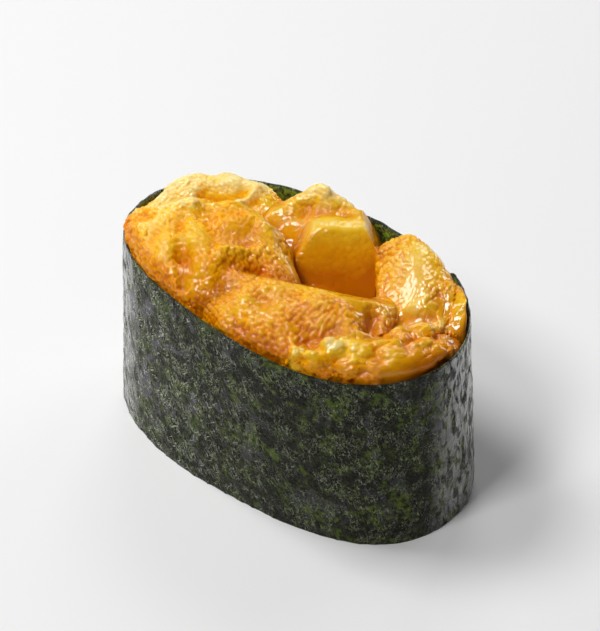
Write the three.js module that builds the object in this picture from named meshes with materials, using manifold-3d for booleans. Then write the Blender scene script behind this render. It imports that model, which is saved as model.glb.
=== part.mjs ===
// Sea urchin gunkan sushi: an oval finger of rice stands in a strip of dried seaweed,
// and tongues of sea urchin roe are heaped on the rice, up to and over the seaweed's rim.
// Millimetres, +Z up. The origin is the centre of the base, and X runs along the oval.

import * as THREE from 'three';
import { ParametricGeometry } from 'three/addons/geometries/ParametricGeometry.js';
import { mergeVertices } from 'three/addons/utils/BufferGeometryUtils.js';
import Module from 'manifold-3d';

const wasm = await Module();
wasm.setup();

// ---- Driving dimensions ----

const STRIP_HEIGHT = 30;       // a cut strip of gunkan seaweed
const BASE_LENGTH = 58.2;
const BASE_WIDTH = 33.6;
const RIM_LENGTH = 58.0;
const RIM_WIDTH = 33.6;
const SEAWEED_THICKNESS = 0.3;
const CONTACT_GAP = 0.3;       // left between pieces that press on each other
const RICE_TOP = 20.5;
const GRAIN_RELIEF = 0.35;     // half the unevenness that the grains give the rice

// The oval is boxier at the base, where the rice fills it, than at the rim.
const BASE_SQUARENESS = 2.42;
const RIM_SQUARENESS = 2.1;
const BASE_THREE_LOBE = 0.15;
const RIM_THREE_LOBE = -0.3;

// The strip's top edge isn't level: waves of the rim, as [waves a turn, height, crest in degrees].
const RIM_WAVES = [
  [1, 0.385, 28],
  [2, 0.5, 65],
  [3, 0.38, 9.5],
  [4, 0.14, 22.5],
  [5, 0.2, 5],
];

// The strip starts inside, goes once round, and its outer end laps over the start.
const INNER_END = THREE.MathUtils.degToRad(28);
const OUTER_END = THREE.MathUtils.degToRad(400.5);
const LAP_RISE = 0.25;         // between the two layers where they lie together
const LAP_TURN = THREE.MathUtils.degToRad(50);   // over which the inner layer runs out to the oval
const END_HUMP = 0.7;          // how far the top edge rises near the outer end
const HUMP_RISE_FROM = 0.35;   // radians before the outer end where it starts to rise
const HUMP_FULL_FROM = 0.1;
const HUMP_FALL_FROM = 0.04;
const END_LIFT = 0.25;         // how far the outer end's top corner stands off
const LIFT_FROM = 0.4;         // radians before the outer end where it starts to stand off

// ---- The oval ----

const lerp = THREE.MathUtils.lerp;
const smooth = THREE.MathUtils.smoothstep;

// The seaweed's outer radius in a direction from the centre, at a height.
function outerRadius(angle, z) {
  const share = z / STRIP_HEIGHT;
  const a = lerp(BASE_LENGTH, RIM_LENGTH, share) / 2;
  const b = lerp(BASE_WIDTH, RIM_WIDTH, share) / 2;
  const n = lerp(BASE_SQUARENESS, RIM_SQUARENESS, share);
  const oval = (Math.abs(Math.cos(angle) / a) ** n + Math.abs(Math.sin(angle) / b) ** n) ** (-1 / n);
  return oval + lerp(BASE_THREE_LOBE, RIM_THREE_LOBE, share) * Math.cos(3 * angle);
}

function rimHeight(angle) {
  const fromCrest = (crest) => angle - THREE.MathUtils.degToRad(crest);
  const heights = RIM_WAVES.map(([waves, height, crest]) => height * Math.cos(waves * fromCrest(crest)));
  return STRIP_HEIGHT + heights.reduce((sum, height) => sum + height, 0);
}

// ---- Solids ----

// A closed surface of (u, v) as a solid: seams and poles are merged.
function closedSurface(point, slices, stacks) {
  const geometry = new ParametricGeometry(point, slices, stacks);
  geometry.deleteAttribute('normal');
  geometry.deleteAttribute('uv');
  const merged = mergeVertices(geometry, 1e-3);
  const solid = new wasm.Manifold(new wasm.Mesh({
    numProp: 3,
    vertProperties: merged.attributes.position.array,
    triVerts: new Uint32Array(merged.index.array),
  }));
  return solid;
}

function meshOf(solid, name, material) {
  const { vertProperties, triVerts } = solid.getMesh();
  const geometry = new THREE.BufferGeometry();
  geometry.setAttribute('position', new THREE.BufferAttribute(vertProperties, 3));
  geometry.setIndex(new THREE.BufferAttribute(triVerts, 1));
  geometry.computeVertexNormals();
  const mesh = new THREE.Mesh(geometry, material);
  mesh.name = name;
  return mesh;
}

// ---- The seaweed strip ----

// How far the strip lies inside the oval: one layer and a little air under its own outer end.
function layerDepth(angle) {
  const lapStart = OUTER_END - 2 * Math.PI;
  return (SEAWEED_THICKNESS + LAP_RISE) * (1 - smooth(angle, lapStart, lapStart + LAP_TURN));
}

// A thin band swept along the turn and its lap. Its section has LEVELS points up the outer face
// and as many down the inner one, and its thickness runs out to nothing at both ends.
function seaweedStrip() {
  const LEVELS = 4;
  const STEPS_ALONG = 96;
  const TAPER_STEP = 0.35 / STEPS_ALONG;
  return closedSurface((u, v, target) => {
    const step = (u * STEPS_ALONG - 1) / (STEPS_ALONG - 2);
    const along = u <= 0 ? 0 : u >= 1 ? 1 : lerp(TAPER_STEP, 1 - TAPER_STEP, step);
    const angle = lerp(INNER_END, OUTER_END, along);
    const place = Math.round(v * 2 * LEVELS) % (2 * LEVELS);
    const outside = place < LEVELS;
    const share = (outside ? place : 2 * LEVELS - 1 - place) / (LEVELS - 1);
    const toEnd = OUTER_END - angle;
    const rise = (1 - smooth(toEnd, HUMP_FULL_FROM, HUMP_RISE_FROM)) * smooth(toEnd, 0, HUMP_FALL_FROM);
    const z = share * (rimHeight(angle) + END_HUMP * rise);
    const lift = END_LIFT * share * (1 - smooth(toEnd, 0, LIFT_FROM));
    const thickness = u <= 0 || u >= 1 ? 0 : SEAWEED_THICKNESS;
    const depth = thickness === 0 ? SEAWEED_THICKNESS / 2 : outside ? 0 : thickness;
    const radius = outerRadius(angle, z) - layerDepth(angle) + lift - depth;
    target.set(radius * Math.cos(angle), radius * Math.sin(angle), z);
  }, STEPS_ALONG, 2 * LEVELS);
}

// The room inside the strip, which the rice and the roe keep to. It narrows by a layer at the lap,
// and above the rim it draws in as a dome.
function roomRadius(angle, z) {
  const BEFORE_LAP = 0.35;
  const DOME_CURVE = 0.1;
  const turned = angle - INNER_END + BEFORE_LAP;
  const along = turned - 2 * Math.PI * Math.floor(turned / (2 * Math.PI)) + INNER_END - BEFORE_LAP;
  const layer = layerDepth(along) * smooth(along, INNER_END - BEFORE_LAP, INNER_END);
  const dome = DOME_CURVE * Math.max(z - rimHeight(angle), 0) ** 2;
  return outerRadius(angle, Math.min(z, STRIP_HEIGHT)) - SEAWEED_THICKNESS - CONTACT_GAP - layer - dome;
}

// ---- The rice ----

// A short oval pillar, flat below, with a crowned top and the grains' unevenness on its side and top.
function riceFinger() {
  const AROUND = 44;
  const UP = 8;
  const EDGE_ROUND = 1;
  const grains = (angle, z) => (
    GRAIN_RELIEF * Math.sin(17 * angle + 1.9 * z) * Math.cos(11 * angle - 1.3 * z));
  return closedSurface((u, v, target) => {
    const angle = u * 2 * Math.PI;
    const base = v <= 0.25;
    const top = v >= 0.75;
    const side = (v - 0.25) * 2;
    const z = base ? 0 : top ? RICE_TOP : side * RICE_TOP;
    const inwards = base ? v * 4 : top ? (1 - v) * 4 : 1;
    const rounding = EDGE_ROUND * (1 - Math.sin(Math.PI * THREE.MathUtils.clamp(side, 0, 1))) ** 4;
    const relief = base ? 0 : grains(angle, z) - GRAIN_RELIEF;
    const radius = inwards * (roomRadius(angle, z) - rounding + relief);
    const bumps = top ? GRAIN_RELIEF * Math.sin(0.9 * radius + 5 * angle) * inwards * (1 - inwards) * 4 : 0;
    target.set(radius * Math.cos(angle), radius * Math.sin(angle), z + bumps);
  }, AROUND, UP * 2);
}

// ---- The roe ----

// Each tongue lies along its stations: [x, y, z, half width, height above, depth below, sideways lean].
// Unevenness scales the broad lumps on it.
// Faces flatten it: [x, y, z of a point, direction and tilt of the outward normal in degrees, softness].
// A tongue that lies over others comes before them.
const TONGUES = {
  roe_middle: {
    stations: [
      [-4.8, 3.2, 29.8, 5.2, 4.2, 8, 0],
      [-0.4, 6.4, 30.4, 5.8, 3.8, 9, 0],
      [3.6, 9.4, 30.6, 6, 3.6, 9, 0],
      [7.4, 12, 30.2, 5.8, 3.8, 8, 0],
    ],
    squareness: 3,
    ends: 5,
    unevenness: 0.3,
    faces: [
      [0, 7.7, 34.5, -50.5, 35, 0.9],
      [3.5, 11, 34.5, 46.5, 26, 0.8],
      [-3.7, 6.2, 32, 215, 34, 1.2],
    ],
  },
  roe_front_left: {
    stations: [
      [-26.6, -6, 28.6, 4, 4, 7, 0.4],
      [-20, -8, 29.6, 6.8, 5.6, 8, 1.6],
      [-12, -6.2, 30, 10, 5.8, 9, 2.6],
      [-4.6, -5, 29.8, 8.6, 5, 9, 1.8],
      [3.4, -3.6, 28.4, 4.8, 4, 7, 0],
    ],
    squareness: 2.5,
    ends: 3.4,
    unevenness: 1,
    faces: [],
  },
  roe_front: {
    stations: [
      [-6.2, -12.6, 28.4, 4.2, 4.2, 7, 0.4],
      [0.6, -9.2, 29.6, 8.4, 4.4, 8, 0.8],
      [7.4, -5.4, 29.8, 10.6, 4.4, 9, 1],
      [13.4, -3.4, 29.8, 8.6, 4.4, 9, 1],
      [18.8, -2, 29, 5.6, 3.6, 8, 0.4],
    ],
    squareness: 2.4,
    ends: 4.4,
    unevenness: 0.8,
    faces: [
      [5.8, -3, 32.8, 112, 50, 0.9],
    ],
  },
  roe_back_right: {
    stations: [
      [5.8, 13.2, 29.8, 4.2, 3.9, 7, 0],
      [10.8, 11.8, 30.6, 5.2, 3.9, 8, 0],
      [15.2, 8.2, 30.4, 5.6, 3.7, 9, 0],
      [18.2, 3.2, 29.6, 6.2, 3.4, 8, 0],
      [20.2, -3, 29, 5.4, 3.2, 7, 0],
    ],
    squareness: 2.3,
    ends: 2.8,
    unevenness: 0.4,
    faces: [
      [11.1, 10.2, 32.9, 233, 54, 1],
    ],
  },
  roe_right_tip: {
    stations: [
      [17.4, 11.4, 28, 3.4, 2.6, 6, 0],
      [22.2, 9, 29.6, 4.6, 3, 7, 0],
      [25.8, 4, 29.2, 4.4, 2.6, 6, 0],
    ],
    squareness: 2.2,
    ends: 2.4,
    unevenness: 1,
    faces: [],
  },
  roe_front_right: {
    stations: [
      [10.4, -15.2, 28.8, 2.6, 2.6, 6, 0],
      [15.6, -12.8, 29.4, 4.6, 3.2, 7, 0],
      [21, -8.4, 29.6, 6, 3.4, 8, 0],
      [24.8, -2.6, 29.4, 6, 3.4, 8, 0],
      [26, 4.6, 28.8, 5.4, 3, 7, 0],
    ],
    squareness: 2.3,
    ends: 2.6,
    unevenness: 1,
    faces: [],
  },
  roe_back_left: {
    stations: [
      [-25.6, -4, 28, 2.6, 3, 6, 0],
      [-23.4, 0.6, 29, 4.2, 4, 7, 0],
      [-19.4, 4.6, 29.2, 5, 4.6, 8, 0],
      [-14.4, 7.8, 28.8, 4.6, 4.4, 8, 0],
      [-9.6, 9.8, 28.4, 3.4, 3.4, 7, 0],
    ],
    squareness: 2.5,
    ends: 2.6,
    unevenness: 1,
    faces: [
      [-21, 5, 33.2, -60, 62, 0.8],
    ],
  },
  roe_back_middle: {
    stations: [
      [-13, 7.2, 28.4, 4.2, 3.2, 7, 0],
      [-9.4, 7.6, 29.6, 6.4, 3.6, 8, 0],
      [-5.4, 9, 30.2, 6.4, 4.4, 9, 1.6],
      [-1.4, 12, 30, 4.2, 4.2, 9, 0.6],
      [2.4, 12.6, 28.8, 3.2, 3.4, 8, 0],
    ],
    squareness: 2.4,
    ends: 2.6,
    unevenness: 1,
    faces: [
      [-8.5, 9.5, 33.8, -80, 55, 0.8],
    ],
  },
};

// Hollows and ridges of the heap's top: [from x, y, to x, y, reach, how far the surface moves up].
const FOLDS = [
  [-20, 3.6, -16.4, 6.6, 1.8, -1.8],
  [-16, -7, -9, -14.4, 1.5, -1],
  [-6.4, 9.6, -1, 12, 1.6, -1.2],
  [15.8, -1.8, 17, -4.6, 1.4, -1.2],
];

const LUMP_HEIGHT = 0.45;
const BED_GAP = 0.6;           // of the roe's underside above the rice
const WALL_SOFTNESS = 0.05;    // share of the radius over which the roe flattens on the seaweed
const LEAN_POWER = 1.5;

const powered = (value, power) => Math.sign(value) * Math.abs(value) ** power;

// Broad uneven lumps, from three crossed waves.
function lumps(x, y, z) {
  const across = Math.sin(0.62 * x + 0.8 * z) * Math.cos(0.55 * y - 0.3 * x);
  const askew = Math.sin(0.95 * y + 0.4 * x + 1.3) * Math.cos(0.7 * z + 0.5 * x);
  return LUMP_HEIGHT * (across + 0.7 * askew);
}

// Presses a point back softly behind a face that stands off by extra.
function flatten(p, [x, y, z, direction, tilt, softness], extra) {
  const normal = new THREE.Vector3().setFromSphericalCoords(
    1, THREE.MathUtils.degToRad(90 - tilt), THREE.MathUtils.degToRad(direction));
  normal.set(normal.z, normal.x, normal.y);
  const beyond = p.clone().sub(new THREE.Vector3(x, y, z)).dot(normal) - extra + softness;
  if (beyond > 0) {
    p.addScaledVector(normal, softness * Math.tanh(beyond / softness) - beyond);
  }
}

// Moves a point of the heap's top up or down by the folds near it.
function fold(p) {
  const TOP_FROM = 29;
  const TOP_TO = 31.5;
  const onTop = smooth(p.z, TOP_FROM, TOP_TO);
  for (const [fromX, fromY, toX, toY, reach, push] of FOLDS) {
    const line = new THREE.Line3(new THREE.Vector3(fromX, fromY, p.z), new THREE.Vector3(toX, toY, p.z));
    const gap = line.closestPointToPoint(p, true, new THREE.Vector3()).distanceTo(p);
    p.z += push * onTop * Math.exp(-((gap / reach) ** 2));
  }
}

// Keeps a point inside the strip and above the rice, by flattening it softly against them.
function pressIn(p) {
  const angle = Math.atan2(p.y, p.x);
  const limit = roomRadius(angle, p.z);
  const share = Math.hypot(p.x, p.y) / limit;
  const free = 1 - WALL_SOFTNESS;
  const held = share > free ? free + WALL_SOFTNESS * Math.tanh((share - free) / WALL_SOFTNESS) : share;
  p.x *= held / share;
  p.y *= held / share;
  const floor = RICE_TOP + BED_GAP + GRAIN_RELIEF;
  const above = p.z - floor;
  p.z = floor + (above > 1 ? above : Math.exp(Math.max(above, -6) - 1));
}

// A tongue as a solid, swollen by extra all round. Its points lie closer together on the upper side.
function roeTongue({ stations, squareness, ends, unevenness, faces }, extra = 0) {
  const AROUND = 20;
  const ALONG = 17;
  const UPPER_SHARE = 0.6;
  const curveOf = (pick) => new THREE.CatmullRomCurve3(stations.map(pick), false, 'catmullrom', 0.5);
  const spine = curveOf(([x, y, z]) => new THREE.Vector3(x, y, z));
  const sizes = curveOf((s) => new THREE.Vector3(s[3] + extra, s[4] + extra, s[5] + extra));
  const leans = curveOf((s) => new THREE.Vector3(s[6], 0, 0));
  return closedSurface((u, v, target) => {
    const share = 0.5 - 0.5 * Math.cos(Math.PI * v);
    const taper = Math.max(0, 1 - Math.abs(2 * share - 1) ** ends) ** (1 / ends);
    const centre = spine.getPoint(share);
    const tangent = spine.getTangent(share);
    centre.addScaledVector(tangent, extra * (2 * share - 1));
    const size = sizes.getPoint(share);
    const side = new THREE.Vector3(-tangent.y, tangent.x, 0).normalize();
    const turn = 2 * Math.PI * u + UPPER_SHARE * Math.cos(2 * Math.PI * u);
    const lean = leans.getPoint(share).x * Math.max(Math.sin(turn), 0) ** LEAN_POWER;
    const across = powered(Math.cos(turn), 2 / squareness) * size.x + lean;
    const upward = powered(Math.sin(turn), 2 / squareness);
    target.copy(centre).addScaledVector(side, across * taper);
    target.z += upward * taper * (upward > 0 ? size.y : size.z);
    const swell = unevenness * lumps(target.x, target.y, target.z) * taper;
    target.addScaledVector(side, swell * Math.cos(turn));
    target.z += swell * Math.sin(turn);
    faces.forEach((face) => flatten(target, face, extra));
    fold(target);
    pressIn(target);
  }, AROUND, ALONG);
}

// The biggest body of a solid: a cut can leave slivers of a tongue beyond its neighbour.
function mainBody(solid) {
  return solid.decompose().reduce((biggest, body) => (body.volume() > biggest.volume() ? body : biggest));
}

// Each tongue gives way, by the contact gap, to those laid over it, which come first in the list.
function heapedTongues() {
  const over = [];
  return Object.entries(TONGUES).map(([name, spec]) => {
    let solid = roeTongue(spec);
    for (const upper of over) {
      solid = solid.subtract(upper);
    }
    over.push(roeTongue(spec, CONTACT_GAP));
    return [name, mainBody(solid)];
  });
}

// ---- Materials ----

const seaweed = new THREE.MeshStandardMaterial({ color: 0x23271c, roughness: 0.55, metalness: 0 });
const rice = new THREE.MeshStandardMaterial({ color: 0xefe9dc, roughness: 0.5, metalness: 0 });
const roe = new THREE.MeshStandardMaterial({ color: 0xe39a22, roughness: 0.35, metalness: 0 });

// ---- The sushi ----

const sushi = new THREE.Group();
sushi.add(meshOf(seaweedStrip(), 'seaweed_strip', seaweed));
sushi.add(meshOf(riceFinger(), 'rice_finger', rice));
for (const [name, solid] of heapedTongues()) {
  sushi.add(meshOf(solid, name, roe));
}

export default sushi;
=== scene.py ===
import bpy
import numpy as np
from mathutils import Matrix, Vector


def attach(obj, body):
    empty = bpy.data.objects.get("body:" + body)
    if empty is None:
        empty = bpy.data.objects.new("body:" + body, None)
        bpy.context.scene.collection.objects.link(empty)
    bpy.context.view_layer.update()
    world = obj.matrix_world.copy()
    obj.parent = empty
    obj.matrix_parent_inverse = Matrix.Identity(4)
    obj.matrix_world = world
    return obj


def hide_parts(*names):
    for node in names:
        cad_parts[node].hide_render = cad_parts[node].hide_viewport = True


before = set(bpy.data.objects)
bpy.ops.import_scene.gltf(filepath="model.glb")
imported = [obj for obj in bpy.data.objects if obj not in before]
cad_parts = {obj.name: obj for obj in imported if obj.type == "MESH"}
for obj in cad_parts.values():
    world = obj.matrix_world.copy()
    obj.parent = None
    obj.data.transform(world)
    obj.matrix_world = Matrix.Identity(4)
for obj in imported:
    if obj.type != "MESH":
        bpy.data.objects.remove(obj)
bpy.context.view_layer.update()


# ---- Seaweed strip ----
# A strip of dried seaweed, 30 mm wide and 0.3 mm thick, stood on its long edge and wrapped once round
# the rice. Its outer end laps over its inner one at the right-hand back.

MM = 0.001
STRIP_HEIGHT = 30.0
BASE_LENGTH, BASE_WIDTH, BASE_SQUARENESS, BASE_THREE_LOBE = 58.2, 33.6, 2.42, 0.15
RIM_LENGTH, RIM_WIDTH, RIM_SQUARENESS, RIM_THREE_LOBE = 58.0, 33.6, 2.1, -0.3
# Waves of the top edge: crests a turn, height, and where one crest is, in degrees.
RIM_WAVES = ((1, 0.385, 28), (2, 0.5, 65), (3, 0.38, 9.5), (4, 0.14, 22.5), (5, 0.2, 5))
SEAWEED_THICKNESS = 0.3
INNER_END = np.radians(28)
OUTER_END = np.radians(400.5)
LAP_RISE = 0.25
LAP_TURN = np.radians(50)
# The outer end's top corner stands up. Radians before the end where it starts, is up and falls again.
CORNER_RISE = 0.7
CORNER_START, CORNER_UP, CORNER_FALL = 0.35, 0.1, 0.04
END_LIFT, END_LIFT_TURN = 0.25, 0.4
# Unevenness of the whole sheet: height, size and seed. It is drawn out upwards.
SHEET_WAVES = ((0.1, 5.5, 3), (0.05, 2.2, 4))
SHEET_STRETCH = (1, 1, 0.45)
# Crinkles of its outer face: sharp ridges with a finer roughness on them.
RIDGE_HEIGHT, RIDGE_SIZE, RIDGE_STRETCH = 0.16, 1.7, (1, 1, 0.7)
ROUGH_HEIGHT, ROUGH_SIZE = 0.06, 0.9
CRINKLE_SUNK = 0.05
ALONG, OUTER_LEVELS, INNER_LEVELS = 580, 112, 40


def ramp(value, low, high):
    """Goes smoothly from 0 at low to 1 at high: 3t^2 - 2t^3."""
    t = np.clip((value - low) / (high - low), 0, 1)
    return t * t * (3 - 2 * t)


def oval_radius(angle, z):
    """The strip's outer radius: a superellipse whose length, width and squareness run evenly from
    base to rim, plus a wave of three crests a turn."""
    share = z / STRIP_HEIGHT
    a = (BASE_LENGTH + (RIM_LENGTH - BASE_LENGTH) * share) / 2
    b = (BASE_WIDTH + (RIM_WIDTH - BASE_WIDTH) * share) / 2
    n = BASE_SQUARENESS + (RIM_SQUARENESS - BASE_SQUARENESS) * share
    lobe = BASE_THREE_LOBE + (RIM_THREE_LOBE - BASE_THREE_LOBE) * share
    oval = (np.abs(np.cos(angle) / a) ** n + np.abs(np.sin(angle) / b) ** n) ** (-1 / n)
    return oval + lobe * np.cos(3 * angle)


def rim_height(angle):
    """The strip's top edge: its width plus waves of 1 to 5 crests a turn."""
    return STRIP_HEIGHT + sum(h * np.cos(k * (angle - np.radians(crest))) for k, h, crest in RIM_WAVES)


def layer_depth(angle):
    """How far the strip lies inside the oval: one layer and a little air under its own outer end,
    nothing once it has run LAP_TURN past it."""
    under_end = OUTER_END - 2 * np.pi
    return (SEAWEED_THICKNESS + LAP_RISE) * (1 - ramp(angle, under_end, under_end + LAP_TURN))


def lattice(cell, seed):
    """A fixed random number from 0 to 1 for each whole-number cell: its three indices are multiplied
    by large odd numbers, mixed by shifts, and cut to 32 bits."""
    mixed = np.uint64(seed * 977 + 1)
    for axis, factor in enumerate((0x9E3779B1, 0x85EBCA77, 0xC2B2AE3D)):
        whole = cell[..., axis].astype(np.int64).astype(np.uint64)
        mixed = (mixed ^ (whole * np.uint64(factor))) * np.uint64(0x27D4EB2F165667C5)
        mixed = mixed ^ (mixed >> np.uint64(29))
    return (mixed >> np.uint64(20) & np.uint64(0xFFFFFFFF)).astype(float) / 0xFFFFFFFF


def cloud(points, size, seed):
    """Smooth noise from -1 to 1: the lattice's numbers blended between the eight corners of a cell."""
    scaled = points / size
    cell = np.floor(scaled)
    t = scaled - cell
    t = t * t * (3 - 2 * t)
    total = 0
    for corner in np.ndindex(2, 2, 2):
        weight = np.prod(np.where(np.array(corner) == 1, t, 1 - t), axis=-1)
        total = total + weight * lattice(cell + corner, seed)
    return 2 * total - 1


def strip_points():
    """Points on a grid of (angle along the strip, place round its section): up the outer face, over
    the cut edge and down the inner face. Radius is the oval's less the layer's depth, and on the inner
    face less the thickness. Broad waves stand for the sheet's unevenness. A crinkle, on the outer face
    only, is the cube of 1 less the noise's distance from 0, which makes thin ridges."""
    angle = np.linspace(INNER_END, OUTER_END, ALONG)[:, None]
    share = np.concatenate([np.linspace(0, 1, OUTER_LEVELS), np.linspace(1, 0, INNER_LEVELS)])[None]
    outside = np.arange(OUTER_LEVELS + INNER_LEVELS)[None] < OUTER_LEVELS
    risen = ramp(angle, OUTER_END - CORNER_START, OUTER_END - CORNER_UP)
    fallen = ramp(angle, OUTER_END - CORNER_FALL, OUTER_END)
    z = share * (rim_height(angle) + CORNER_RISE * risen * (1 - fallen))
    lift = END_LIFT * share * ramp(angle, OUTER_END - END_LIFT_TURN, OUTER_END)
    radius = oval_radius(angle, z) - layer_depth(angle) - np.where(outside, 0, SEAWEED_THICKNESS) + lift
    points = np.stack([radius * np.cos(angle), radius * np.sin(angle), z], -1)
    wave = sum(height * cloud(points * SHEET_STRETCH, size, seed) for height, size, seed in SHEET_WAVES)
    ridges = (1 - np.abs(cloud(points * RIDGE_STRETCH, RIDGE_SIZE, 5))) ** 3
    crinkle = RIDGE_HEIGHT * ridges + ROUGH_HEIGHT * cloud(points, ROUGH_SIZE, 6)
    wave = wave + np.where(outside, crinkle - CRINKLE_SUNK, 0)
    points[..., :2] *= (1 + wave / radius)[..., None]
    return points


def add_piece(name, points, faces, material, cad_node):
    """A smooth-shaded mesh from points in millimetres and faces, with its material, parented to the root
    body, with the CAD part it stands for hidden.
    """
    mesh = bpy.data.meshes.new(name)
    mesh.from_pydata((points * MM).tolist(), [], faces)
    mesh.shade_smooth()
    piece = bpy.data.objects.new(name, mesh)
    bpy.context.collection.objects.link(piece)
    mesh.materials.append(material)
    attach(piece, "root")
    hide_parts(cad_node)
    return piece


def store(piece, name, values):
    """Keeps one number a vertex under a name, for the material to read."""
    kept = piece.data.attributes.new(name, "FLOAT", "POINT")
    kept.data.foreach_set("value", values.ravel().astype(np.float32))


def new_material(name, looks):
    """A material with its shader's plain values set, with its node tree and its shader."""
    material = bpy.data.materials.new(name)
    material.use_nodes = True
    shader = material.node_tree.nodes["Principled BSDF"]
    for look, value in looks.items():
        shader.inputs[look].default_value = value
    return material, material.node_tree, shader


def node(tree, kind, inputs, **settings):
    """A shader node with its settings; an input is a value or another node's socket."""
    made = tree.nodes.new("ShaderNode" + kind)
    for name, value in settings.items():
        setattr(made, name, value)
    for name, value in inputs.items():
        if isinstance(value, bpy.types.NodeSocket):
            tree.links.new(value, made.inputs[name])
        else:
            made.inputs[name].default_value = value
    return made


def object_place(tree):
    """The place on the piece, in metres from the origin."""
    return node(tree, "TexCoord", {}).outputs["Object"]


def attribute(tree, name):
    """A number that the piece keeps for each vertex."""
    return node(tree, "Attribute", {}, attribute_name=name).outputs["Fac"]


def noise(tree, size, detail=2, distortion=0.0, stretch=(1, 1, 1), tilt=0.0):
    """Cloudy noise from 0 to 1 whose patches are about size millimetres across, tilted by degrees
    about Y before it is stretched."""
    tilted = {"Vector": object_place(tree), "Angle": np.radians(tilt)}
    turned = node(tree, "VectorRotate", tilted, rotation_type="Y_AXIS").outputs[0]
    scaled = node(tree, "VectorMath", {0: turned, 1: stretch}, operation="MULTIPLY").outputs[0]
    pattern = {"Vector": scaled, "Scale": 1 / (size * MM), "Detail": detail, "Distortion": distortion}
    return node(tree, "TexNoise", pattern).outputs["Fac"]


def between(tree, value, low, high):
    """0 below low, 1 above high, smooth between."""
    limits = {"Value": value, "From Min": low, "From Max": high}
    return node(tree, "MapRange", limits, interpolation_type="SMOOTHSTEP").outputs[0]


def spread(tree, share, low, high=1.0):
    """A share from 0 to 1 carried evenly on to the range from low to high."""
    return node(tree, "MapRange", {"Value": share, "To Min": low, "To Max": high}).outputs[0]


def combined(tree, operation, total, *others):
    """Values taken together one after another by a math node's operation."""
    for other in others:
        total = node(tree, "Math", {0: total, 1: other}, operation=operation).outputs[0]
    return total


def product(tree, *values):
    """All the values multiplied together."""
    return combined(tree, "MULTIPLY", *values)


def blend(tree, below, above, share):
    """One colour over another by a share from 0 to 1."""
    mix = node(tree, "Mix", {0: share}, data_type="RGBA")
    for socket, colour in ((6, below), (7, above)):
        if isinstance(colour, bpy.types.NodeSocket):
            tree.links.new(colour, mix.inputs[socket])
        else:
            mix.inputs[socket].default_value = (*colour, 1)
    return mix.outputs[2]


def fibres(tree, kinds):
    """Fibres that lie more than one way: the highest of several tilted and drawn-out noises."""
    layers = [between(tree, noise(tree, size, 1, distortion, stretch, tilt), low, high)
              for size, distortion, stretch, tilt, low, high in kinds]
    return combined(tree, "MAXIMUM", *layers)


FROND_BLACK, FROND_GREY = (0.007, 0.007, 0.004), (0.044, 0.050, 0.026)
FILM_VIOLET, PATCH_OLIVE = (0.050, 0.047, 0.066), (0.082, 0.120, 0.012)
SPECK_GREEN = (0.20, 0.28, 0.04)
STROKE_GREY, THREAD_WHITE = (0.40, 0.44, 0.28), (0.80, 0.84, 0.68)
# The inner face's olive and bright green are painted glow, for light shining through the sheet.
INSIDE_GLOW_OLIVE, INSIDE_GLOW_GREEN = (0.07, 0.085, 0.009), (0.36, 0.50, 0.03)
# Fibres: size, distortion, stretch, tilt in degrees, and where they begin and are full in the noise.
STROKES = ((0.5, 0.9, (1.7, 1.7, 0.4), 40, 0.58, 0.68), (0.5, 0.9, (1.7, 1.7, 0.4), -30, 0.59, 0.69),
           (0.4, 0.6, (1.6, 1.6, 0.5), 8, 0.59, 0.69))
THREADS = ((0.36, 0.6, (1.8, 1.8, 0.35), 25, 0.64, 0.70), (0.34, 0.6, (1.8, 1.8, 0.35), -50, 0.64, 0.70))
# Painted light lightens the sheet's left end: in full left of one X, and least right of the other.
LEFT_LIT_X, RIGHT_DIM_X, DIMMEST_SHARE = -16, 8, 0.3
# The gloss starts this far from the middle along a line turned a little from the oval's length.
GLOSS_TURN, GLOSS_START, GLOSS_FULL = np.radians(30), 22.0, 25.6
DULL_ROUGHNESS, GLOSS_ROUGHNESS = 0.5, 0.24
DULL_SPECULAR, GLOSS_SPECULAR = 0.10, 1.0


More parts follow.
